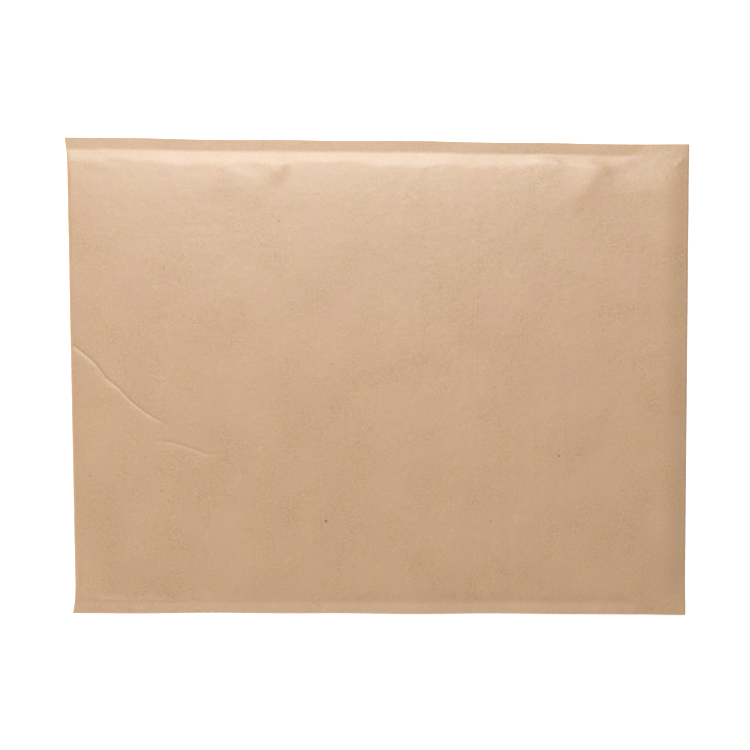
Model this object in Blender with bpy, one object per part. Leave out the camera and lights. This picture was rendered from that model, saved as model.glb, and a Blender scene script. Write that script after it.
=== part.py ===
"""Padded mailing envelope: kraft paper outside, bubble film inside, empty and lying on its back.

The kraft is one sheet. From the mouth it runs back under the pocket, turns up round the bottom fold,
forms the address side, turns down round the flap fold and ends as the flap, tucked under the mouth.
Both long sides are sealed front to back. The bubble web lines the whole of the pocket and the flap fold.

Frame: +X from the bottom fold to the flap fold, +Y across the width, +Z out of the address side.
The origin is on the surface the envelope lies on, under the middle of it. Units are metres.
"""

import math

import bmesh
import bpy

# Outside sizes
LENGTH = 0.484  # bottom fold to flap fold
WIDTH = 0.370  # across both side seals
THICKNESS = 0.0074  # over the padded middle
POCKET_LENGTH = 0.445  # bottom fold to mouth
FLAP_LENGTH = 0.075  # flap fold to the flap's free edge

# Layers
PAPER = 0.0002  # kraft sheet
CLEARANCE = 0.0003  # between neighbouring layers
POCKET_GAP = 0.0006  # between the two faces of the lining in the empty pocket
STRIP = 0.0001  # adhesive strip, and the liner on it

# Side seals
SEAL_WIDTH = 0.009
SEAL_LIFT = 0.00265  # underside of a seal above the surface
SEAL_BITE = 0.00003  # how far the bond reaches into each sheet
SEAL_SETBACK = 0.0003  # the bond stops this far inside the paper's long and mouth edges
SEAL_FOLD_SETBACK = 0.00015  # and this far inside the bottom fold

# Slopes from a seal up to the padded middle
TOP_SLOPE = 0.015
BACK_SLOPE = 0.012
SLOPE_ROUNDING = 2.2

# Folds: how far back from the edge each one starts to turn, at a sealed corner and in the padded middle
BOTTOM_FOLD_REACH = (0.0006, 0.0070)
FLAP_FOLD_REACH = (0.0012, 0.0090)
FOLD_STEPS = 6

# The address side falls a little towards both folds
BOTTOM_FALL = 0.0004
BOTTOM_FALL_RUN = 0.024
FLAP_FALL = 0.0009
FLAP_FALL_RUN = 0.056
CORNER_FALL = 0.0011  # the single sheet beyond the mouth, at the corners

# Lining
LINING_WIDTH = 0.340
LINING_SETBACK = 0.002  # behind the mouth
LINING_ON_FLAP = 0.018  # back from the flap fold

# Closure strip on the flap
ADHESIVE_WIDTH = 0.012
ADHESIVE_SPAN = 0.320
LINER_WIDTH = 0.020
LINER_SPAN = 0.328
LINER_SETBACK = 0.003  # behind the flap's free edge

# Places worked out from the sizes
BOTTOM_X = -LENGTH / 2
FLAP_FOLD_X = LENGTH / 2
MOUTH_X = BOTTOM_X + POCKET_LENGTH
FLAP_EDGE_X = FLAP_FOLD_X - FLAP_LENGTH
SEAL_LINE = WIDTH / 2 - SEAL_WIDTH
SEAL_THICKNESS = 2 * PAPER + CLEARANCE
FLAP_STACK = PAPER + 2 * STRIP + 3 * CLEARANCE  # the back panel's lift where the flap is under it
STACK_RAMP = 0.011  # run over which it lifts

# Lines across the width, one side: the seal, the slope beside it and the padded middle
SLOPE_LINES = [SEAL_LINE - TOP_SLOPE * share for share in (0.0, 0.2, 0.4, 0.6, 0.8, 1.0)]
HALF_LINES = [0.0, 0.08, 0.15, *reversed(SLOPE_LINES), WIDTH / 2]


def ease(start, end, x):
    """0 before start, 1 after end, and a smooth rise between them."""
    t = min(max((x - start) / (end - start), 0.0), 1.0)
    return t * t * (3 - 2 * t)


def swell(y, slope):
    """0 on a side seal, 1 on the padded middle: steep at the seal and rounded off at the top."""
    t = min(max((SEAL_LINE - abs(y)) / slope, 0.0), 1.0)
    return 1 - (1 - t) ** SLOPE_ROUNDING


def top_height(x, y):
    """Outer face of the address side."""
    seal = SEAL_LIFT + SEAL_THICKNESS - CORNER_FALL * ease(MOUTH_X, FLAP_FOLD_X, x)
    middle = THICKNESS - BOTTOM_FALL * (1 - ease(BOTTOM_X, BOTTOM_X + BOTTOM_FALL_RUN, x))
    middle -= FLAP_FALL * ease(FLAP_FOLD_X - FLAP_FALL_RUN, FLAP_FOLD_X, x)
    return seal + (middle - seal) * swell(y, TOP_SLOPE)


def back_height(x, y):
    """Outer face of the back panel: flat on the surface, and raised over the flap."""
    lift = ease(FLAP_EDGE_X - STACK_RAMP, FLAP_EDGE_X, x) - ease(MOUTH_X, MOUTH_X + STACK_RAMP, x)
    return SEAL_LIFT + (FLAP_STACK * lift - SEAL_LIFT) * swell(y, BACK_SLOPE)


def flap_height(x, y):
    """Outer face of the flap: flat on the surface, and rising with the back panel towards the sides."""
    return (SEAL_LIFT - FLAP_STACK) * (1 - swell(y, BACK_SLOPE))


# A station is a place along the folded sheet. It is a function of the line y across the sheet and of
# a depth rule, which gives the depth below the outer face from the heights of the faces above and below.


def top_at(x):
    def place(y, depth):
        top = top_height(x, y)
        return x, y, top - depth(top, back_height(x, y))

    return place


def back_at(x):
    def place(y, depth):
        bottom = back_height(x, y)
        return x, y, bottom + depth(top_height(x, y), bottom)

    return place


def flap_at(x):
    def place(y, depth):
        bottom = flap_height(x, y)
        return x, y, bottom + depth(top_height(x, y), bottom)

    return place


def fold_at(turn, edge_x, reaches, lower_height):
    """A station round a fold, half an ellipse, from the address side at turn 0 to below at turn 1."""
    outward = math.copysign(1.0, edge_x)
    angle = math.pi * (0.5 - turn)

    def place(y, depth):
        corner, middle = reaches
        reach = corner + (middle - corner) * swell(y, TOP_SLOPE)
        x = edge_x - outward * reach
        top, bottom = top_height(x, y), lower_height(x, y)
        inset = depth(top, bottom)
        rise = (top - bottom) / 2 - inset
        return (
            x + outward * (reach - inset) * math.cos(angle),
            y,
            (top + bottom) / 2 + rise * math.sin(angle),
        )

    return place


def sheet_path(mouth_end, flap_stations):
    """Stations along a folded sheet, from its end at the mouth to its last station on the flap."""
    turns = [step / FOLD_STEPS for step in range(FOLD_STEPS + 1)]
    ramp = [FLAP_EDGE_X - STACK_RAMP * share for share in (0.0, 0.5, 1.0)]
    middle = [0.075, 0.0, -0.075, -0.15]
    near_bottom = [BOTTOM_X + BOTTOM_FALL_RUN * share for share in (1.0, 0.6)]
    near_flap = [FLAP_FOLD_X - FLAP_FALL_RUN * share for share in (1.0, 0.7, 0.46, 0.25)]
    path = [back_at(x) for x in (mouth_end, *ramp, *middle, *near_bottom)]
    path += [fold_at(turn, BOTTOM_X, BOTTOM_FOLD_REACH, back_height) for turn in reversed(turns)]
    path += [top_at(x) for x in (*reversed(near_bottom), *reversed(middle), ramp[1], *near_flap)]
    path += [fold_at(turn, FLAP_FOLD_X, FLAP_FOLD_REACH, flap_height) for turn in turns]
    return path + [flap_at(x) for x in flap_stations]


def steady(depth):
    """The depth rule of a face that runs parallel to the paper."""
    return lambda top, bottom: depth


def beside_pocket(top, bottom):
    """The depth rule of the lining's inner face, half the pocket's gap from the middle plane."""
    return (top - bottom - POCKET_GAP) / 2


def lines_across(span):
    """The lines from -Y to +Y that lie within a span, with one on each of its edges."""
    half = [y for y in HALF_LINES if y < span / 2] + [span / 2]
    return [-y for y in reversed(half[1:])] + half


def folded_web(name, path, lines, outer, inner, material):
    """A closed slab between two depth rules, drawn flat in station numbers and then folded."""
    slab = bmesh.new()
    bmesh.ops.create_grid(slab, x_segments=len(path) - 1, y_segments=len(lines) - 1, size=0.5)
    grown = bmesh.ops.extrude_face_region(slab, geom=slab.faces[:])
    inner_face = [item for item in grown["geom"] if isinstance(item, bmesh.types.BMVert)]
    bmesh.ops.translate(slab, vec=(0, 0, 1), verts=inner_face)
    for vertex in slab.verts:
        station = path[round((vertex.co.x + 0.5) * (len(path) - 1))]
        y = lines[round((vertex.co.y + 0.5) * (len(lines) - 1))]
        vertex.co = station(y, inner if vertex.co.z > 0.5 else outer)
    bmesh.ops.recalc_face_normals(slab, faces=slab.faces)
    mesh = bpy.data.meshes.new(name)
    slab.to_mesh(mesh)
    slab.free()
    mesh.shade_smooth()
    mesh.set_sharp_from_angle(angle=math.radians(50))
    return add_object(name, mesh, material)


def add_object(name, mesh, material):
    mesh.materials.append(material)
    thing = bpy.data.objects.new(name, mesh)
    bpy.context.scene.collection.objects.link(thing)
    return thing


def principled(name, colour, roughness, alpha=1.0):
    material = bpy.data.materials.new(name)
    material.use_nodes = True
    shader = material.node_tree.nodes["Principled BSDF"]
    shader.inputs["Base Color"].default_value = (*colour, 1.0)
    shader.inputs["Roughness"].default_value = roughness
    shader.inputs["Metallic"].default_value = 0.0
    shader.inputs["Alpha"].default_value = alpha
    return material


def bond_sides(shell, side):
    """Joins front to back along one side seal with a bar between the sheets that bites into both."""
    x = (BOTTOM_X + SEAL_FOLD_SETBACK, MOUTH_X - SEAL_SETBACK)
    y = (SEAL_LINE + SEAL_SETBACK, WIDTH / 2 - SEAL_SETBACK)
    bar = bmesh.new()
    bmesh.ops.create_cube(bar, size=1.0)
    bmesh.ops.scale(
        bar, vec=(x[1] - x[0], y[1] - y[0], CLEARANCE + 2 * SEAL_BITE), verts=bar.verts
    )
    bmesh.ops.translate(
        bar, vec=(sum(x) / 2, side * sum(y) / 2, SEAL_LIFT + SEAL_THICKNESS / 2), verts=bar.verts
    )
    mesh = bpy.data.meshes.new("seal_bar")
    bar.to_mesh(mesh)
    bar.free()
    helper = add_object(f"seal_bar_{'right' if side > 0 else 'left'}", mesh, shell.active_material)
    helper.hide_render = True
    helper.display_type = "WIRE"
    bond = shell.modifiers.new(helper.name, "BOOLEAN")
    bond.operation = "UNION"
    bond.solver = "EXACT"
    bond.object = helper


def kraft_shell():
    kraft = principled("kraft_paper", (0.60, 0.40, 0.25), 0.62)
    on_flap = [FLAP_FOLD_X - FLAP_FALL_RUN * 0.25, MOUTH_X, FLAP_EDGE_X]
    path = sheet_path(MOUTH_X, on_flap)
    shell = folded_web("kraft_shell", path, lines_across(WIDTH), steady(0.0), steady(PAPER), kraft)
    for side in (-1, 1):
        bond_sides(shell, side)


def bubble_lining():
    film = principled("bubble_film", (0.80, 0.82, 0.83), 0.25, alpha=0.6)
    path = sheet_path(MOUTH_X - LINING_SETBACK, [FLAP_FOLD_X - LINING_ON_FLAP])
    lines = lines_across(LINING_WIDTH)
    folded_web("bubble_lining", path, lines, steady(PAPER + CLEARANCE), beside_pocket, film)


def closure_strip(name, edge_setback, width, span, depth, material):
    """A flat strip on the flap's inner face, its length across the envelope."""
    start = FLAP_EDGE_X + edge_setback
    path = [flap_at(start), flap_at(start + width)]
    folded_web(name, path, lines_across(span), steady(depth), steady(depth + STRIP), material)


def closure():
    """The flap's adhesive and, centred over it, the liner that covers it until use."""
    adhesive = principled("adhesive", (0.74, 0.70, 0.58), 0.35)
    paper = principled("release_paper", (0.82, 0.81, 0.76), 0.30)
    depth = PAPER + CLEARANCE
    inset = LINER_SETBACK + (LINER_WIDTH - ADHESIVE_WIDTH) / 2
    closure_strip("flap_adhesive", inset, ADHESIVE_WIDTH, ADHESIVE_SPAN, depth, adhesive)
    depth += STRIP + CLEARANCE
    closure_strip("release_liner", LINER_SETBACK, LINER_WIDTH, LINER_SPAN, depth, paper)


def main():
    for thing in list(bpy.data.objects):
        bpy.data.objects.remove(thing)
    kraft_shell()
    bubble_lining()
    closure()


main()
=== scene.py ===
"""A padded kraft envelope lying on its back, seen from above: creased kraft sheet, bubble film, glue strip.

Every size comes from the frame or is given below, in metres. +X runs from the bottom fold to the flap
fold, +Y across the width and +Z out of the address side.
"""

import math

import bmesh
import bpy
import numpy as np
from mathutils import Matrix, Vector


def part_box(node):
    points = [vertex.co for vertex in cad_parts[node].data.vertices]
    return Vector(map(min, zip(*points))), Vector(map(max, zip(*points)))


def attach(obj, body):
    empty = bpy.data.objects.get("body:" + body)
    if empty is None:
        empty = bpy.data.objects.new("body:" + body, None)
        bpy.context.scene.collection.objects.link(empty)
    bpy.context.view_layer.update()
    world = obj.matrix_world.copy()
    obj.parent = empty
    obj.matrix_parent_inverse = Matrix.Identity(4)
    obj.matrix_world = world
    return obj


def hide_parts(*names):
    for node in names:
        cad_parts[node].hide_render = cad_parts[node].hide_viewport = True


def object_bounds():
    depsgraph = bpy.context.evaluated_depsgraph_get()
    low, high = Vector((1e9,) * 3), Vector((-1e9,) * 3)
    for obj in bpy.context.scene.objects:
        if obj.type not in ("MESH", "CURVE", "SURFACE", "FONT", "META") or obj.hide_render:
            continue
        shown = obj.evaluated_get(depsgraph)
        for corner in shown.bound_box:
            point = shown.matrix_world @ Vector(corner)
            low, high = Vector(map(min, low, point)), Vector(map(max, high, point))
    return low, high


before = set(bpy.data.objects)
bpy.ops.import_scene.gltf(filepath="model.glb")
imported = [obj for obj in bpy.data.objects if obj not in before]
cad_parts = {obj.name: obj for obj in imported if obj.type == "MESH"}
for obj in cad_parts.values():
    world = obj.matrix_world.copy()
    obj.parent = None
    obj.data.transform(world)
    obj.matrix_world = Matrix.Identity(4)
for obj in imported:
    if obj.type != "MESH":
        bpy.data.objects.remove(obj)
cad_low, cad_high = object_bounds()

# From the frame
BOTTOM_X, FLAP_FOLD_X = cad_low.x, cad_high.x
HALF_WIDTH = cad_high.y
THICKNESS = cad_high.z
LINING_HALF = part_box("bubble_lining")[1].y
LINER_LOW, LINER_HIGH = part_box("release_liner")
GLUE_LOW, GLUE_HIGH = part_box("flap_adhesive")

# The folded sheet
POCKET_LENGTH = 0.445
FLAP_LENGTH = 0.075
MOUTH_X = BOTTOM_X + POCKET_LENGTH
FLAP_EDGE_X = FLAP_FOLD_X - FLAP_LENGTH
TOP_LENGTH = FLAP_FOLD_X - BOTTOM_X
PAPER = 0.0002
BOND = 0.00042  # both plies of a seal and the glue between them
SEAL_WIDTH = 0.0095
SEAL_LINE = HALF_WIDTH - SEAL_WIDTH  # inner edge of a side seal
SEAL_FREE = MOUTH_X + 0.0005  # where the sheet is free of the side seals, at their inner edge
SEAL_END_SLANT = 0.35  # how much further a seal holds, for each metre towards its outer edge
# Letting go starts LET_GO before that, LET_GO_SPREAD further per metre inwards, and LET_GO_MOST at most
LET_GO, LET_GO_SPREAD, LET_GO_MOST = 0.008, 2.3, 0.040
# For each side: height of the seal's top face, how far its outer edge turns up, the tangent and width of
# the padding's slope beside it, the width of the slow crown above that, and how far the free edge past the
# seal drops.
FAR = {"seal": 0.0047, "turned_up": 0.0005, "lean": 0.168, "slope": 0.0105, "crown": 0.040, "free": 0.0026}
NEAR = {"seal": 0.0053, "turned_up": 0.0016, "lean": 0.130, "slope": 0.0090, "crown": 0.036, "free": 0.0012}
FREE_SLOPE = 0.040
BACK_SLOPE = 0.018
BACK_ROUNDING = 2.2
FLAP_STACK = LINER_HIGH.z + 0.0003  # what the back panel stands on over the flap
STACK_RAMP = 0.011
FLAP_CURL, FLAP_CURL_WIDTH = 0.0015, 0.030
BOTTOM_FALL, BOTTOM_FALL_RUN = 0.0004, 0.026
FLAP_FALL, FLAP_FALL_RUN, FLAP_FALL_CORNER = 0.0031, 0.021, 0.038
BOTTOM_REACH = (0.0007, 0.0034)  # fold reach at a corner and in the padded middle
FLAP_REACH = (0.0012, 0.0032)
REACH_WIDTH = 0.028
FILM_DEPTH = PAPER + 0.0010  # clear of the deepest crease
FILM = 0.00006
POCKET_GAP = 0.0006

# Where the outline isn't a true rectangle
SKEW_X, SKEW_Y = -0.0095, -0.0045  # shift along X for each metre of Y, and along Y for each metre of X
EDGE_DRAWN_IN, EDGE_DRAWN_RUN = 0.0014, 0.016  # how far the padding pulls the bottom fold in from its corners
BOTTOM_DRAWN_RUN = 0.03  # how far from the bottom fold that is felt
EDGE_SHIFT_RUN = 0.02  # how far inside the seals the sides' own unevenness reaches
FLAP_SIDE_OUT = 0.0008  # how far the free part of the near edge stands out past the seal's
FLAP_SIDE_FROM, FLAP_SIDE_TO = 0.10, 0.19
NEAR_DRAWN_IN = 0.0007
NEAR_SKEW_SHARE = 0.2  # the near edge lies closer to true than the far one


def ease(start, end, x):
    t = np.clip((x - start) / (end - start), 0.0, 1.0)
    return t * t * (3 - 2 * t)


def crown(t):
    """From 0 to 1, rounded off level at the end."""
    return 1 - (1 - np.clip(t, 0.0, 1.0)) ** 2


SLOPE_SHARE = 0.75  # height of a slope that is straight over its first half, as a share of lean times width


def slope_shape(t):
    """From 0 to 1: straight over the first half, then rounded off level."""
    u = np.clip(2 * t - 1, 0.0, 1.0)
    return (np.clip(t, 0.0, 0.5) + 0.5 * (u - u**3 + u**4 / 2)) / SLOPE_SHARE


def by_side(y, name):
    return np.where(y > 0, FAR[name], NEAR[name])


def seal_top(y):
    outward = np.clip((np.abs(y) - SEAL_LINE) / SEAL_WIDTH, 0.0, 1.0)
    return by_side(y, "seal") + by_side(y, "turned_up") * outward


def free_share(x, y):
    """0 where the side seals hold, 1 past their ends."""
    outward = np.abs(y) - SEAL_LINE
    end = SEAL_FREE + SEAL_END_SLANT * outward
    length = np.clip(LET_GO - LET_GO_SPREAD * np.minimum(outward, 0.0), LET_GO, LET_GO_MOST)
    return ease(end - length, end, x)


def slope_width(x, y):
    """The slope beside a seal isn't the same width all along it."""
    uneven = 0.13 * np.sin(x / 0.0131 + 0.8) + 0.14 * np.sin(x / 0.0277) + 0.10 * np.sin(x / 0.0059 + 2.0)
    return by_side(y, "slope") * (1 + uneven)


def pad_share(x, y):
    """0 on a side seal, 1 where the sheet lies over padding or is free."""
    sealed = slope_shape((SEAL_LINE - np.abs(y)) / slope_width(x, y))
    return sealed + (1 - sealed) * free_share(x, y)


def smooth_top(x, y):
    """The address side before any crease."""
    inward = SEAL_LINE - np.abs(y)
    slope = SLOPE_SHARE * by_side(y, "lean") * by_side(y, "slope")
    rest = THICKNESS - by_side(y, "seal") - slope
    on_slope = slope * slope_shape(inward / slope_width(x, y))
    above_slope = rest * crown(inward / by_side(y, "crown"))
    sealed = seal_top(y) + on_slope + above_slope
    free = THICKNESS - by_side(y, "free") * (1 - ease(0.0, FREE_SLOPE, HALF_WIDTH - np.abs(y)))
    height = sealed + (free - sealed) * free_share(x, y)
    bottom_fall = BOTTOM_FALL * (1 - ease(BOTTOM_X, BOTTOM_X + BOTTOM_FALL_RUN, x))
    flap_fall = FLAP_FALL * np.clip(1 - (FLAP_FOLD_X - x) / FLAP_FALL_RUN, 0.0, 1.0) ** 2
    flap_fall = flap_fall * ease(0.0, FLAP_FALL_CORNER, HALF_WIDTH - np.abs(y))
    return height - (bottom_fall + flap_fall) * pad_share(x, y)


def back_share(y):
    return 1 - (1 - np.clip((SEAL_LINE - np.abs(y)) / BACK_SLOPE, 0.0, 1.0)) ** BACK_ROUNDING


def back_height(x, y):
    lift = ease(FLAP_EDGE_X - STACK_RAMP, FLAP_EDGE_X, x) - ease(MOUTH_X, MOUTH_X + STACK_RAMP, x)
    seal = seal_top(y) - BOND
    return seal + (FLAP_STACK * lift - seal) * back_share(y)


def flap_height(x, y):
    """The flap curls up a little at its sides and is the same all along x."""
    return FLAP_CURL * (1 - crown((HALF_WIDTH - np.abs(y)) / FLAP_CURL_WIDTH))


def skewed(x, y):
    """Where a point of the true rectangle lies on the real sheet."""
    share = crown((HALF_WIDTH - np.abs(y)) / EDGE_DRAWN_RUN)
    drawn_in = EDGE_DRAWN_IN * share * (1 - ease(BOTTOM_X, BOTTOM_X + BOTTOM_DRAWN_RUN, x))
    to_edge = ease(SEAL_LINE - EDGE_SHIFT_RUN, HALF_WIDTH, np.abs(y)) * np.sign(y)
    wander = 0.00025 * np.sin(x / 0.043 + 1.0) + 0.0002 * np.sin(x / 0.017)
    out_at_flap = FLAP_SIDE_OUT * ease(FLAP_SIDE_FROM, FLAP_SIDE_TO, x)
    stands_out = np.where(y < 0, out_at_flap - NEAR_DRAWN_IN, 0.0)
    side_skew = SKEW_Y * (1 - (1 - NEAR_SKEW_SHARE) * (0.5 - y / (2 * HALF_WIDTH)))
    return x + SKEW_X * y + drawn_in, y + side_skew * x + (wander + stands_out) * to_edge


def skew_mesh(piece):
    """Moves a finished mesh from the true rectangle to where the real sheet lies."""
    place = np.array([v.co[:] for v in piece.data.vertices])
    place[:, 0], place[:, 1] = skewed(place[:, 0], place[:, 1])
    piece.data.vertices.foreach_set("co", place.ravel())


# ---- Handling marks on the address side ----


def along_line(x, y, points):
    """Signed distance from a polyline, positive on its left, and the share of its length passed there."""
    best = np.full(np.shape(x), 1e9)
    signed, share = np.zeros(np.shape(x)), np.zeros(np.shape(x))
    steps = [math.dist(a, b) for a, b in zip(points, points[1:])]
    total, done = sum(steps), 0.0
    for (ax, ay), (bx, by), step in zip(points, points[1:], steps):
        ux, uy = (bx - ax) / step, (by - ay) / step
        t = np.clip((x - ax) * ux + (y - ay) * uy, 0.0, step)
        dx, dy = x - ax - t * ux, y - ay - t * uy
        distance = np.hypot(dx, dy)
        nearer = distance < best
        best = np.where(nearer, distance, best)
        signed = np.where(nearer, np.copysign(distance, ux * dy - uy * dx), signed)
        share = np.where(nearer, (done + t) / total, share)
        done += step
    return signed, share


def fold_mark(x, y, points, height, left, right, fade):
    """A ridge (height over 0) or a valley along a line, with its own width on each side of the line."""
    signed, share = along_line(x, y, points)
    width = np.where(signed > 0, left, right)
    profile = np.exp(-np.abs(signed) / width) * (1 + np.abs(signed) / width)
    start = ease(0.0, fade[0], share) if fade[0] else 1.0
    return height * profile * start * (1 - ease(1 - fade[1], 1.0, share))


CREASES = [
    # points, height, width on the left, width on the right, fade at start and end
    (
        [(-0.2383, 0.0266), (-0.2272, 0.0179), (-0.2195, 0.0109), (-0.2126, 0.0009), (-0.2027, -0.0069),
         (-0.1934, -0.0170), (-0.1834, -0.0248), (-0.1764, -0.0295), (-0.1656, -0.0348), (-0.1578, -0.0388)],
        -0.00054, 0.0007, 0.0010, (0.0, 0.25),
    ),
    (
        [(-0.1773, -0.0475), (-0.1634, -0.0489), (-0.1540, -0.0513), (-0.1447, -0.0544),
         (-0.1346, -0.0582), (-0.1205, -0.0582)],
        -0.00032, 0.0006, 0.0009, (0.2, 0.3),
    ),
    ([(-0.1959, -0.0412), (-0.1890, -0.0498), (-0.1836, -0.0545)], -0.00014, 0.0006, 0.0009, (0.3, 0.3)),
    ([(-0.2396, -0.0499), (-0.2332, -0.0468)], -0.00026, 0.0006, 0.0009, (0.0, 0.5)),
    (
        [(-0.1905, -0.1529), (-0.1795, -0.1585), (-0.1686, -0.1633), (-0.1585, -0.1672), (-0.1475, -0.1736)],
        -0.00022, 0.0008, 0.0016, (0.3, 0.3),
    ),
    ([(0.2355, 0.1730), (0.2258, 0.1638)], 0.00024, 0.0014, 0.0012, (0.1, 0.5)),
]

PUCKERS = [
    # where the paper is gathered at the slope below the far seal
    ([(-0.0730, 0.1703), (-0.0838, 0.1496)], 0.00095, 0.0018, 0.0050, (0.15, 0.6)),
    ([(-0.1176, 0.1685), (-0.1285, 0.1340)], 0.00060, 0.0055, 0.0040, (0.2, 0.7)),
    ([(-0.0907, 0.1649), (-0.0992, 0.1281)], 0.00026, 0.0040, 0.0080, (0.3, 0.6)),
    ([(-0.1215, 0.1708), (-0.1153, 0.1632)], 0.00056, 0.0013, 0.0016, (0.3, 0.4)),
    ([(0.1790, 0.1712), (0.1377, 0.1279)], 0.00112, 0.0052, 0.0095, (0.25, 0.6)),
    ([(0.1386, 0.1732), (0.1241, 0.1540)], 0.00040, 0.0050, 0.0060, (0.2, 0.6)),
    ([(-0.2158, 0.1709), (-0.2198, 0.1587)], 0.00020, 0.0055, 0.0055, (0.3, 0.5)),
    ([(-0.1836, 0.1765), (-0.1875, 0.1665)], -0.00022, 0.0011, 0.0011, (0.3, 0.4)),
    ([(0.0118, 0.1732), (0.0073, 0.1425)], 0.00022, 0.0035, 0.0035, (0.2, 0.7)),
    ([(0.0311, 0.1733), (0.0258, 0.1426)], 0.00026, 0.0035, 0.0035, (0.2, 0.7)),
]

RIPPLE = 0.0132  # spacing of the fine ripples across the sheet
RIPPLE_HEIGHT = 0.00004
RIPPLES_FADE_IN = (-0.06, 0.02)
RIPPLES_FADE_OUT = (0.19, 0.215)
WAVE_COUNT, WAVE_LENGTH, WAVE_HEIGHT = 6, 0.21, 0.00012

CREASE_SHADE_MIDDLE, CREASE_SHADE_WIDTH = 0.0005, 0.0005
CREASE_SHADE_DEPTH = 0.0006  # a crease this deep is shaded fully


def crease_shade(x, y):
    """How much painted shade darkens the paper: a thin dark line along the steep side of each valley, where
    the crease lies in shade.
    """
    shade = np.zeros(np.shape(x))
    for points, height, left, right, fade in CREASES:
        signed, _ = along_line(x, y, points)
        line = np.exp(-(((signed - CREASE_SHADE_MIDDLE) / CREASE_SHADE_WIDTH) ** 2))
        depth = fold_mark(x, y, points, min(height, 0.0), 1.0, 1.0, fade)
        shade = np.maximum(shade, -line * depth / CREASE_SHADE_DEPTH)
    return shade


def waves(x, y):
    """Slow unevenness of a sheet over padding, and fine ripples square to its length."""
    slow = 0.0
    for k in range(WAVE_COUNT):
        along = x * math.cos(k) + y * math.sin(k)
        length = WAVE_LENGTH / (1 + 0.37 * k)
        slow = slow + math.cos(k) * np.sin(along * 2 * math.pi / length + 2.1 * k) / (1 + 0.5 * k)
    phase = 2 * math.pi * (x + 0.10 * y + 0.004 * np.sin(y / 0.031) + 0.003 * np.sin(x / 0.023)) / RIPPLE
    patchy = 0.6 + 0.4 * np.sin(x / 0.037 + 1.3 * np.sin(y / 0.05))
    ripples = np.sin(phase) * patchy * ease(*RIPPLES_FADE_IN, x) * (1 - ease(*RIPPLES_FADE_OUT, x))
    return WAVE_HEIGHT * slow + RIPPLE_HEIGHT * ripples


def marks(x, y):
    """Height that handling and sealing add to the address side."""
    on_pad = pad_share(x, y)
    x, y = skewed(x, y)
    total = waves(x, y) * on_pad
    for points, height, left, right, fade in CREASES:
        total = total + fold_mark(x, y, points, height, left, right, fade)
    for points, height, left, right, fade in PUCKERS:
        total = total + fold_mark(x, y, points, height, left, right, fade) * on_pad
    return total


# ---- The sheet's path: rows of points from the mouth, round both folds, to a last station on the flap ----


def fold_start(edge, reach, y):
    corner, middle = reach
    share = crown((SEAL_LINE - np.abs(y)) / REACH_WIDTH)
    return edge - math.copysign(1.0, edge) * (corner + (middle - corner) * share)


def upper(x, y, depth):
    """A row on the address side. What lies deeper than the kraft sheet has none of its creases."""
    creased = 0.0 if depth else marks(x, y)
    return np.stack([x, y, smooth_top(x, y) + creased - depth], axis=-1)


def under(x, y, depth, lower):
    return np.stack([x, y, lower(x, y) + depth], axis=-1)


def turned(edge, reach, lower, turn, y, depth):
    """A row round a fold: half an ellipse from the address side at turn 0 to below at turn 1."""
    outward = math.copysign(1.0, edge)
    x = fold_start(edge, reach, y)
    top, bottom = smooth_top(x, y), lower(x, y)
    angle = math.pi * (0.5 - turn)
    place = x + (edge - x - outward * depth) * math.cos(angle)
    height = (top + bottom) / 2 + ((top - bottom) / 2 - depth) * math.sin(angle)
    if not depth:
        height = height + marks(place, y) * max(math.sin(angle), 0.0)
    return np.stack([place, y, height], axis=-1)


def sheet_rows(y, depth, top_x, back_x, flap_x, turns):
    """All rows of one face of a folded sheet, and which of them are first and last on the address side."""
    rows = [under(np.full_like(y, x), y, depth, back_height) for x in back_x]
    rows += [turned(BOTTOM_X, BOTTOM_REACH, back_height, t, y, depth) for t in reversed(turns)]
    first = len(rows) - 1
    start, end = fold_start(BOTTOM_X, BOTTOM_REACH, y), fold_start(FLAP_FOLD_X, FLAP_REACH, y)
    for share in top_x:
        rows.append(upper(start + (end - start) * share, y, depth))
    last = len(rows)
    rows += [turned(FLAP_FOLD_X, FLAP_REACH, flap_height, t, y, depth) for t in turns]
    rows += [under(np.full_like(y, x), y, depth, flap_height) for x in flap_x]
    return np.array(rows), first, last


THE_REST = 1.0  # past the end of any row, so a span that ends there runs on to the row's end


def stations(low, high, spans):
    """Stations from low to high, each span given as its end and its step."""
    made = [low]
    for end, step in spans:
        count = max(1, round((min(end, high) - made[-1]) / step))
        made += list(np.linspace(made[-1], min(end, high), count + 1)[1:])
    return made


def grid_faces(rows, columns):
    quads = []
    for i in range(rows - 1):
        for j in range(columns - 1):
            a = i * columns + j
            quads.append((a + columns, a + columns + 1, a + 1, a))
    return quads


CUT_EDGE_ANGLE = math.radians(50)


def new_object(name, vertices, faces):
    mesh = bpy.data.meshes.new(name)
    mesh.from_pydata([tuple(v) for v in vertices], [], faces)
    mesh.update()
    mesh.shade_smooth()
    thing = bpy.data.objects.new(name, mesh)
    bpy.context.scene.collection.objects.link(thing)
    return thing


def add_thickness(piece, thick, offset=-1):
    """Gives a surface its real thickness, with cut edges that stay crisp."""
    solid = piece.modifiers.new("thickness", "SOLIDIFY")
    solid.thickness = thick
    solid.offset = offset
    finished = bpy.data.meshes.new_from_object(piece.evaluated_get(bpy.context.evaluated_depsgraph_get()))
    piece.modifiers.clear()
    piece.data = finished
    finished.set_sharp_from_angle(angle=CUT_EDGE_ANGLE)


# ---- Kraft sheet ----

FINE_BAND = 0.0026  # the mesh is cut finer this near to a crease
FINE_CUTS = 6
ON_TOP = 0.99  # what a vertex cut from faces wholly on the address side carries at least
KRAFT_TURN_STEPS, FILM_TURN_STEPS = 16, 8


def turn_shares(steps):
    return [step / steps for step in range(steps + 1)]


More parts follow.
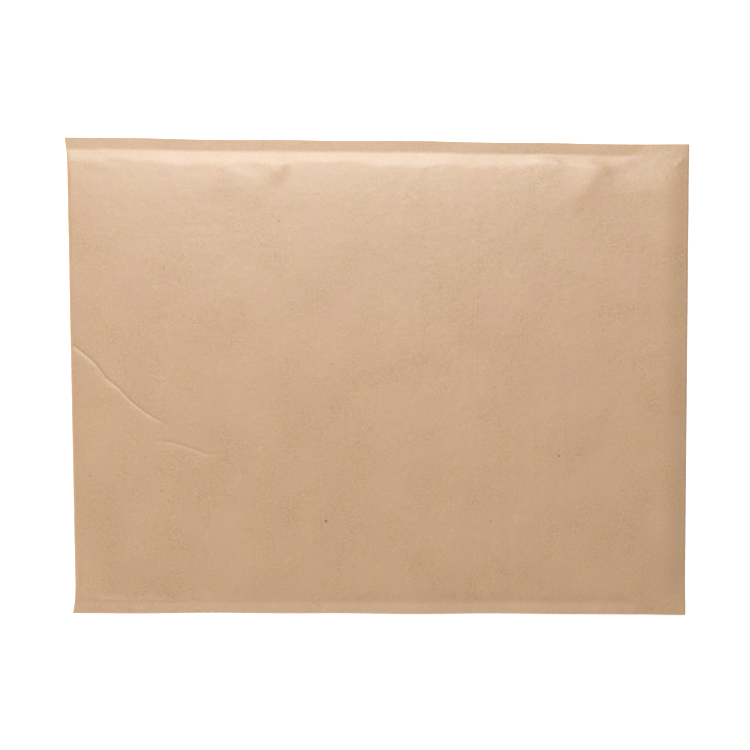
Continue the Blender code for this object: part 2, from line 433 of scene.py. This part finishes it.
def kraft_skin():
    y = np.array(
        stations(-HALF_WIDTH, HALF_WIDTH, [
            (-SEAL_LINE, 0.0024), (-SEAL_LINE + 0.018, 0.0016), (SEAL_LINE - 0.05, 0.0034),
            (SEAL_LINE - 0.018, 0.0018), (SEAL_LINE, 0.0010), (HALF_WIDTH, 0.0018),
        ])
    )
    top_x = [x / TOP_LENGTH for x in stations(0.0, TOP_LENGTH, [(THE_REST, 0.0028)])][1:-1]
    # Stations run upwards, so rows that run towards -X come from stations of -x
    back_spans = [(-FLAP_EDGE_X + STACK_RAMP, 0.004), (THE_REST, 0.011)]
    back_x = [-x for x in stations(-MOUTH_X, -BOTTOM_X - BOTTOM_REACH[1], back_spans)][:-1]
    flap_x = [-x for x in stations(-FLAP_FOLD_X + FLAP_REACH[1], -FLAP_EDGE_X, [(THE_REST, 0.006)])][1:]
    rows, first, last = sheet_rows(y, 0.0, top_x, back_x, flap_x, turn_shares(KRAFT_TURN_STEPS))
    count, columns = rows.shape[:2]
    skin = new_object("kraft_skin", rows.reshape(-1, 3), grid_faces(count, columns))
    cut_finer(skin, range(first * columns, last * columns))
    skew_mesh(skin)
    add_thickness(skin, PAPER)
    return skin


def cut_finer(skin, top_range):
    """Cuts the faces beside the creases finer and sets the new vertices on the creased surface."""
    work = bmesh.new()
    work.from_mesh(skin.data)
    for layer in ("on_top", "creased"):
        work.verts.layers.float.new(layer)
    on_top, creased = work.verts.layers.float["on_top"], work.verts.layers.float["creased"]
    work.verts.ensure_lookup_table()
    for index in top_range:
        work.verts[index][on_top] = 1.0
    centres = np.array([face.calc_center_median()[:2] for face in work.faces])
    centres_x, centres_y = skewed(centres[:, 0], centres[:, 1])
    near = np.zeros(len(centres), bool)
    for points, *_ in CREASES:
        near |= np.abs(along_line(centres_x, centres_y, points)[0]) < FINE_BAND
    chosen = [
        face for face, close in zip(work.faces, near) if close and all(v[on_top] > ON_TOP for v in face.verts)
    ]
    edges = list({edge for face in chosen for edge in face.edges})
    bmesh.ops.subdivide_edges(work, edges=edges, cuts=FINE_CUTS, use_grid_fill=True)
    moved = [v for v in work.verts if v[on_top] > ON_TOP]
    place = np.array([v.co[:] for v in moved])
    height = smooth_top(place[:, 0], place[:, 1]) + marks(place[:, 0], place[:, 1])
    # Painted shade: each vertex near a crease carries how dark the crease's shaded side is painted
    shade = crease_shade(*skewed(place[:, 0], place[:, 1]))
    for vertex, z, dark in zip(moved, height, shade):
        vertex.co.z = z
        vertex[creased] = dark
    work.to_mesh(skin.data)
    work.free()
    skin.data.shade_smooth()


# ---- Bubble film ----

BUBBLE_PITCH = 0.0115
BUBBLE_RADIUS = 0.0049
BUBBLE_SIDES = 10
DOME_LEVELS = [(1.0, 0.0), (0.93, 0.45), (0.66, 0.86)]  # a bubble's rings: share of its radius and height
# The outermost bubbles' distance from the bottom fold, the flap fold and the mouth
FROM_BOTTOM, FROM_FLAP_FOLD, FROM_MOUTH = 0.017, 0.016, 0.008
FILM_BEHIND_MOUTH = 0.002
FILM_ON_FLAP = (0.0145, 0.018)  # the film's last rows, from the flap fold


def film_surface(x, y, side):
    """Height of the film's bubble side and the way to the pocket, on the address side or below."""
    top, floor = smooth_top(x, y), back_height(x, y)
    inside = FILM_DEPTH + FILM
    return (top - inside if side > 0 else floor + inside), (top - floor - POCKET_GAP) / 2 - inside


def bubbles():
    """Vertices and faces of the bubbles: closed domes in staggered rows on both faces of the film."""
    vertices, faces = [], []
    turn = np.arange(BUBBLE_SIDES) * 2 * math.pi / BUBBLE_SIDES
    row_step = BUBBLE_PITCH * math.sqrt(3) / 2
    rows = int(2 * (LINING_HALF - BUBBLE_RADIUS) / row_step)
    for side, x_end in ((1, FLAP_FOLD_X - FROM_FLAP_FOLD), (-1, MOUTH_X - FROM_MOUTH)):
        x_start = BOTTOM_X + FROM_BOTTOM
        for row in range(rows + 1):
            cy = (row - rows / 2) * row_step
            first = x_start + (row % 2) * BUBBLE_PITCH / 2
            for cx in np.arange(first, x_end, BUBBLE_PITCH):
                start = len(vertices)
                for share, up in DOME_LEVELS:
                    px = cx + BUBBLE_RADIUS * share * np.cos(turn)
                    py = cy + BUBBLE_RADIUS * share * np.sin(turn)
                    base, room = film_surface(px, py, side)
                    vertices += list(zip(px, py, base - side * room * up))
                base, room = film_surface(np.array(cx), np.array(cy), side)
                vertices.append((cx, cy, float(base - side * room)))
                faces += dome_faces(start, side)
    return vertices, faces


def dome_faces(start, side):
    n = BUBBLE_SIDES
    made = [tuple(start + i for i in range(n))]
    for level in (0, 1):
        a = start + level * n
        made += [(a + (i + 1) % n, a + i, a + n + i, a + n + (i + 1) % n) for i in range(n)]
    made += [(start + 2 * n + (i + 1) % n, start + 2 * n + i, start + 3 * n) for i in range(n)]
    return made if side > 0 else [face[::-1] for face in made]


def bubble_film():
    y_spans = [(-LINING_HALF + 0.012, 0.003), (LINING_HALF - 0.012, 0.012), (THE_REST, 0.003)]
    y = np.array(stations(-LINING_HALF, LINING_HALF, y_spans))
    top_x = [x / TOP_LENGTH for x in stations(0.0, TOP_LENGTH, [(THE_REST, 0.008)])][1:-1]
    back_start, back_end = -MOUTH_X + FILM_BEHIND_MOUTH, -BOTTOM_X - BOTTOM_REACH[1]
    back_spans = [(-FLAP_EDGE_X + STACK_RAMP, 0.005), (THE_REST, 0.02)]
    back_x = [-x for x in stations(back_start, back_end, back_spans)][:-1]
    flap_x = [FLAP_FOLD_X - run for run in FILM_ON_FLAP]
    outer, _, _ = sheet_rows(y, FILM_DEPTH, top_x, back_x, flap_x, turn_shares(FILM_TURN_STEPS))
    count, columns = outer.shape[:2]
    vertices, faces = bubbles()
    web = new_object("film_web", outer.reshape(-1, 3), grid_faces(count, columns))
    add_thickness(web, FILM)
    film = new_object("bubble_film", vertices, faces)
    joined = bmesh.new()
    joined.from_mesh(web.data)
    joined.from_mesh(film.data)
    joined.to_mesh(film.data)
    joined.free()
    bpy.data.objects.remove(web)
    skew_mesh(film)
    film.data.shade_smooth()
    return film


# ---- Glue strip and liner ----

STRIP_STEP, STRIP_COLUMNS = 0.004, 9
GLUE_WANDER, LINER_WANDER = 0.0002, 0.00003  # how far the long edges stray


def strip(name, low, high, wander):
    """A thin strip across the flap with slightly uneven long edges."""
    across = np.array(stations(low.y, high.y, [(THE_REST, STRIP_STEP)]))
    y, t = np.meshgrid(across, np.linspace(0.0, 1.0, STRIP_COLUMNS))
    uneven = wander * (np.sin(y / 0.009) + 0.6 * np.sin(y / 0.0037 + 1.0))
    x = low.x + (high.x - low.x) * t + uneven * (2 * t - 1)
    z = low.z + 0.00002 * np.sin(y / 0.013 + 3 * t)
    rows = np.stack([x, y, z], axis=-1)
    made = new_object(name, rows.reshape(-1, 3), grid_faces(*y.shape))
    skew_mesh(made)
    add_thickness(made, high.z - low.z, offset=1)
    return made


# ---- Materials ----


class Shader:
    """Short calls for building one material's nodes."""

    def __init__(self, name):
        self.material = bpy.data.materials.new(name)
        self.material.use_nodes = True
        self.nodes = self.material.node_tree.nodes
        self.links = self.material.node_tree.links
        self.base = self.nodes["Principled BSDF"]
        self.place = self.nodes.new("ShaderNodeTexCoord").outputs["Object"]

    def put(self, socket, value):
        if isinstance(value, bpy.types.NodeSocket):
            self.links.new(value, socket)
        else:
            socket.default_value = value

    def set(self, **values):
        for name, value in values.items():
            self.put(self.base.inputs[name.replace("_", " ")], value)

    def maths(self, operation, a, b=0.0, clamp=False):
        node = self.nodes.new("ShaderNodeMath")
        node.operation = operation
        node.use_clamp = clamp
        self.put(node.inputs[0], a)
        self.put(node.inputs[1], b)
        return node.outputs[0]

    def moved(self, scale=(1, 1, 1), turn=0.0, shift=(0, 0, 0)):
        node = self.nodes.new("ShaderNodeMapping")
        self.put(node.inputs["Vector"], self.place)
        node.inputs["Scale"].default_value = scale
        node.inputs["Rotation"].default_value = (0, 0, turn)
        node.inputs["Location"].default_value = shift
        return node.outputs[0]

    def noise(self, scale, detail=2.0, rough=0.5, place=None, distortion=0.0):
        node = self.nodes.new("ShaderNodeTexNoise")
        self.put(node.inputs["Vector"], place or self.place)
        node.inputs["Scale"].default_value = scale
        node.inputs["Detail"].default_value = detail
        node.inputs["Roughness"].default_value = rough
        node.inputs["Distortion"].default_value = distortion
        return node.outputs["Fac"]

    def spread(self, value, low, high, to_low=0.0, to_high=1.0):
        node = self.nodes.new("ShaderNodeMapRange")
        node.interpolation_type = "SMOOTHSTEP"
        names = ("Value", "From Min", "From Max", "To Min", "To Max")
        for name, given in zip(names, (value, low, high, to_low, to_high)):
            self.put(node.inputs[name], given)
        return node.outputs["Result"]

    def mix(self, share, a, b):
        """From colour a to colour b. The node's colours are its sockets 6, 7 and, going out, 2."""
        node = self.nodes.new("ShaderNodeMix")
        node.data_type = "RGBA"
        self.put(node.inputs["Factor"], share)
        self.put(node.inputs[6], a)
        self.put(node.inputs[7], b)
        return node.outputs[2]

    def bump(self, height, strength, distance, normal=None):
        node = self.nodes.new("ShaderNodeBump")
        node.inputs["Strength"].default_value = strength
        node.inputs["Distance"].default_value = distance
        self.put(node.inputs["Height"], height)
        if normal is not None:
            self.put(node.inputs["Normal"], normal)
        return node.outputs["Normal"]


KRAFT = (0.681, 0.405, 0.229, 1)
KRAFT_LIGHT = (0.763, 0.466, 0.276, 1)
KRAFT_DARK = (0.578, 0.330, 0.178, 1)
KRAFT_YELLOWER = (0.667, 0.410, 0.225, 1)
# Painted shade: the colour of the dark line along the steep side of each valley crease
KRAFT_CREASE_SHADE = (0.400, 0.236, 0.128, 1)
KRAFT_PINKER = (0.690, 0.398, 0.252, 1)
FLECK = (0.230, 0.125, 0.062, 1)
CREASE_SHADE_SHARE = 0.55  # how much of the painted crease shade colour a full crease shade shows
FILM_CLEAR, FILM_PALE = (0.86, 0.89, 0.90, 1), (0.92, 0.94, 0.95, 1)
GLUE_DARK, GLUE_PALE = (0.66, 0.60, 0.44, 1), (0.78, 0.74, 0.60, 1)
LINER_DARK, LINER_PALE = (0.78, 0.77, 0.72, 1), (0.86, 0.85, 0.81, 1)
STAGE_DARK, STAGE_PALE = (0.90, 0.90, 0.90, 1), (0.93, 0.93, 0.93, 1)

# The few bark flecks that stand out: place, radius and how dark
LARGE_FLECKS = [
    (-0.0416, -0.1108, 0.00131, 0.90),
    (0.1409, -0.0591, 0.00106, 0.78),
    (-0.0784, 0.1228, 0.00088, 0.60),
    (-0.0483, 0.1437, 0.00075, 0.54),
    (-0.1697, -0.0874, 0.00088, 0.60),
    (-0.2257, -0.0758, 0.00088, 0.60),
    (0.2093, 0.0819, 0.00075, 0.54),
    (0.1057, 0.1400, 0.00075, 0.54),
    (0.0432, -0.0139, 0.00075, 0.48),
    (0.0962, 0.0051, 0.00075, 0.48),
    (0.0880, -0.1106, 0.00075, 0.48),
    (-0.0283, -0.1290, 0.00075, 0.48),
]


def flecks(s, per_metre, largest, share):
    """A mask of scattered bark flecks: some cells of a grid hold one, each of its own size."""
    wobble = s.nodes.new("ShaderNodeVectorMath")
    wobble.operation = "ADD"
    shake = s.nodes.new("ShaderNodeTexNoise")
    shake.inputs["Scale"].default_value = 1400
    s.links.new(s.place, shake.inputs["Vector"])
    small = s.nodes.new("ShaderNodeVectorMath")
    small.operation = "SCALE"
    s.links.new(shake.outputs["Color"], small.inputs[0])
    small.inputs["Scale"].default_value = 0.0009
    s.links.new(s.place, wobble.inputs[0])
    s.links.new(small.outputs[0], wobble.inputs[1])
    cells = s.nodes.new("ShaderNodeTexVoronoi")
    cells.voronoi_dimensions = "2D"
    s.links.new(wobble.outputs[0], cells.inputs["Vector"])
    cells.inputs["Scale"].default_value = per_metre
    parts = s.nodes.new("ShaderNodeSeparateColor")
    s.links.new(cells.outputs["Color"], parts.inputs["Color"])
    size = s.spread(parts.outputs[0], 1 - share, 1.0, 0.0, largest * per_metre)
    inside = s.maths("SUBTRACT", size, cells.outputs["Distance"])
    shown = s.spread(inside, 0.0, 0.0003 * per_metre)
    darkness = s.maths("ADD", parts.outputs[1], 0.35)
    return s.maths("MULTIPLY", shown, darkness, clamp=True)


# Faint handling lines: middle, direction in radians, half length, half width and height
FAINT_LINES = [
    (-0.0274, -0.0337, -1.553, 0.0266, 0.0011, 0.00012),
    (0.0754, 0.0552, -1.571, 0.0815, 0.0010, 0.00010),
    (-0.1300, 0.0303, -0.005, 0.0445, 0.0009, 0.00003),
]


def faint_line(s, x, y, turn, half_length, half_width):
    """A mask that is 1 along a short straight line and fades off its sides and ends."""
    beside = s.nodes.new("ShaderNodeMapping")
    beside.vector_type = "TEXTURE"
    s.put(beside.inputs["Vector"], s.place)
    beside.inputs["Location"].default_value = (x, y, 0)
    beside.inputs["Rotation"].default_value = (0, 0, turn)
    parts = s.nodes.new("ShaderNodeSeparateXYZ")
    s.put(parts.inputs[0], beside.outputs[0])
    along = s.spread(s.maths("ABSOLUTE", parts.outputs["X"]), 0.5 * half_length, half_length, 1.0, 0.0)
    across = s.spread(s.maths("ABSOLUTE", parts.outputs["Y"]), 0.0, half_width, 1.0, 0.0)
    return s.maths("MULTIPLY", along, across)


def one_fleck(s, x, y, radius, strength):
    away = s.nodes.new("ShaderNodeVectorMath")
    away.operation = "DISTANCE"
    s.put(away.inputs[0], s.place)
    away.inputs[1].default_value = (x, y, THICKNESS)
    return s.spread(away.outputs["Value"], 0.4 * radius, radius, strength, 0.0)


def kraft_material():
    s = Shader("kraft_paper_creased")
    cloud = s.noise(22, 3, 0.55)
    patches = s.noise(95, 3, 0.6)
    streaks = s.noise(1, 3, 0.6, s.moved((75, 34, 20), 0.12))
    blotches = s.noise(260, 3, 0.65, s.moved(shift=(5, 2, 0)))
    mottle = s.noise(560, 4, 0.75)
    grain = s.noise(1600, 2, 0.6)
    pale_fibre = s.noise(1, 3, 0.6, s.moved((420, 2300, 400), 0.35), 0.4)
    dark_fibre = s.noise(1, 3, 0.6, s.moved((2100, 430, 400), 0.25, (3, 7, 1)), 0.4)
    tone = s.mix(s.spread(mottle, 0.38, 0.62), KRAFT_DARK, KRAFT_LIGHT)
    tone = s.mix(0.14, tone, KRAFT)
    tone = s.mix(s.spread(blotches, 0.30, 0.70, 0.0, 0.30), tone, KRAFT_DARK)
    tone = s.mix(s.spread(cloud, 0.3, 0.7, 0.0, 0.42), tone, KRAFT_LIGHT)
    tone = s.mix(s.spread(patches, 0.36, 0.64, 0.0, 0.50), tone, KRAFT_YELLOWER)
    tone = s.mix(s.spread(streaks, 0.40, 0.64, 0.0, 0.60), tone, KRAFT_PINKER)
    tone = s.mix(s.spread(pale_fibre, 0.60, 0.74, 0.0, 0.42), tone, KRAFT_LIGHT)
    tone = s.mix(s.spread(dark_fibre, 0.62, 0.76, 0.0, 0.50), tone, KRAFT_DARK)
    tone = s.mix(s.maths("MULTIPLY", flecks(s, 330, 0.00036, 0.30), 0.40), tone, FLECK)
    tone = s.mix(s.maths("MULTIPLY", flecks(s, 55, 0.0007, 0.22), 0.60), tone, FLECK)
    # Painted shade: darkens the paper along the steep side of each valley crease
    creased = s.nodes.new("ShaderNodeAttribute")
    creased.attribute_name = "creased"
    tone = s.mix(s.maths("MULTIPLY", creased.outputs["Fac"], CREASE_SHADE_SHARE, clamp=True), tone, KRAFT_CREASE_SHADE)
    for x, y, radius, strength in LARGE_FLECKS:
        tone = s.mix(one_fleck(s, x, y, radius, strength), tone, FLECK)
    rough = s.maths("ADD", s.spread(mottle, 0.3, 0.7, 0.37, 0.43), s.spread(cloud, 0.3, 0.7, -0.02, 0.03))
    fine = s.bump(grain, 0.50, 0.00004)
    fine = s.bump(mottle, 0.35, 0.00006, fine)
    fine = s.bump(s.noise(170, 2, 0.55), 0.90, 0.00016, fine)
    for *line, height in FAINT_LINES:
        fine = s.bump(faint_line(s, *line), 0.8, height, fine)
    s.set(Base_Color=tone, Roughness=rough, Normal=s.bump(s.noise(60, 2, 0.5), 0.80, 0.00030, fine))
    s.base.inputs["Specular IOR Level"].default_value = 1.0
    return s.material


def film_material():
    s = Shader("bubble_film_clear")
    s.set(Base_Color=s.mix(s.noise(60, 2), FILM_CLEAR, FILM_PALE))
    s.set(Roughness=s.spread(s.noise(300, 2), 0.3, 0.7, 0.08, 0.20))
    s.set(Normal=s.bump(s.noise(240, 3), 0.2, 0.0002))
    s.base.inputs["Transmission Weight"].default_value = 0.55
    s.base.inputs["IOR"].default_value = 1.35
    return s.material


def glue_material():
    s = Shader("adhesive_tacky")
    s.set(Base_Color=s.mix(s.noise(180, 3), GLUE_DARK, GLUE_PALE))
    s.set(Roughness=s.spread(s.noise(420, 2), 0.3, 0.7, 0.22, 0.42))
    s.set(Normal=s.bump(s.noise(700, 2), 0.3, 0.0001))
    return s.material


def liner_material():
    s = Shader("release_paper_coated")
    s.set(Base_Color=s.mix(s.noise(900, 3), LINER_DARK, LINER_PALE))
    s.set(Roughness=s.spread(s.noise(260, 2), 0.3, 0.7, 0.26, 0.36))
    s.set(Normal=s.bump(s.noise(520, 2), 0.2, 0.00005))
    return s.material


def pale_material(name, glow):
    s = Shader(name)
    tone = s.mix(s.noise(3, 2), STAGE_DARK, STAGE_PALE)
    s.set(Base_Color=tone, Roughness=0.9, Emission_Color=tone, Emission_Strength=glow)
    s.base.inputs["Specular IOR Level"].default_value = 0.1
    return s.material


# ---- Stage, lights and camera ----

FLOOR_GLOW = 0.76
FLOOR_SIZE = 9.0
FLOOR_DROP = 0.0001  # keeps the floor just clear of the underside
BACKDROP_RADIUS = 4.0
BACKDROP_GLOW = 0.80
KEY = {"place": (-0.14, 1.21, 1.62), "size": 1.6, "power": 48.2, "colour": (0.93, 1.02, 1.05)}
FILL = {"place": (-1.08, -1.79, 0.63), "size": 0.65, "power": 24.5, "colour": (1.0, 1.0, 1.0)}
SKY = 0.02
LENS, SENSOR = 50.0, 36.0
CAMERA_TILT, CAMERA_YAW, CAMERA_ROLL = math.radians(2.79), math.radians(-0.80), math.radians(0.25)
CAMERA_DISTANCE = 0.8152
CAMERA_AIM = Vector((-0.00366, 0.00377, THICKNESS / 2))


def stage():
    bpy.ops.mesh.primitive_grid_add(
        x_subdivisions=2, y_subdivisions=2, size=FLOOR_SIZE, location=(0, 0, -FLOOR_DROP)
    )
    floor = bpy.context.object
    floor.name = "floor"
    floor.data.materials.append(pale_material("pale_floor", FLOOR_GLOW))
    bpy.ops.mesh.primitive_uv_sphere_add(segments=64, ring_count=32, radius=BACKDROP_RADIUS)
    backdrop = bpy.context.object
    backdrop.name = "backdrop"
    backdrop.data.shade_smooth()
    backdrop.data.materials.append(pale_material("pale_backdrop", BACKDROP_GLOW))
    # It is only there to be seen and lights nothing
    backdrop.visible_diffuse = False
    backdrop.visible_glossy = False
    backdrop.visible_transmission = False
    backdrop.visible_shadow = False


def softbox(name, place, size, power, colour):
    data = bpy.data.lights.new(name, "AREA")
    data.color = colour
    data.shape = "SQUARE"
    data.size = size
    data.energy = power
    lamp = bpy.data.objects.new(name, data)
    lamp.location = place
    lamp.rotation_euler = (-Vector(place)).to_track_quat("-Z", "Y").to_euler()
    bpy.context.scene.collection.objects.link(lamp)


def sky():
    world = bpy.data.worlds.new("studio")
    world.use_nodes = True
    world.node_tree.nodes["Background"].inputs["Color"].default_value = (1, 1, 1, 1)
    world.node_tree.nodes["Background"].inputs["Strength"].default_value = SKY
    bpy.context.scene.world = world


def camera():
    data = bpy.data.cameras.new("camera")
    data.lens, data.sensor_width = LENS, SENSOR
    data.clip_start = 0.01
    made = bpy.data.objects.new("camera", data)
    back = Vector((
        math.sin(CAMERA_YAW) * math.cos(CAMERA_TILT), math.sin(CAMERA_TILT),
        math.cos(CAMERA_YAW) * math.cos(CAMERA_TILT),
    )).normalized()
    right = Vector((0, 1, 0)).cross(back).normalized()
    up = back.cross(right)
    turned_right = right * math.cos(CAMERA_ROLL) + up * math.sin(CAMERA_ROLL)
    turned_up = up * math.cos(CAMERA_ROLL) - right * math.sin(CAMERA_ROLL)
    pose = Matrix((turned_right, turned_up, back)).transposed().to_4x4()
    pose.translation = CAMERA_AIM + back * CAMERA_DISTANCE
    made.matrix_world = pose
    bpy.context.scene.collection.objects.link(made)
    bpy.context.scene.camera = made


def dress(piece, node, material):
    piece.data.materials.clear()
    piece.data.materials.append(material)
    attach(piece, "root")
    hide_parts(node)


def main():
    dress(kraft_skin(), "kraft_shell", kraft_material())
    film = bubble_film()
    dress(film, "bubble_lining", film_material())
    glue = strip("adhesive_strip", GLUE_LOW, GLUE_HIGH, GLUE_WANDER)
    dress(glue, "flap_adhesive", glue_material())
    liner = strip("liner_strip", LINER_LOW, LINER_HIGH, LINER_WANDER)
    dress(liner, "release_liner", liner_material())
    stage()
    softbox("key", **KEY)
    softbox("fill", **FILL)
    sky()
    camera()
    bpy.context.scene.view_settings.view_transform = "Standard"


main()
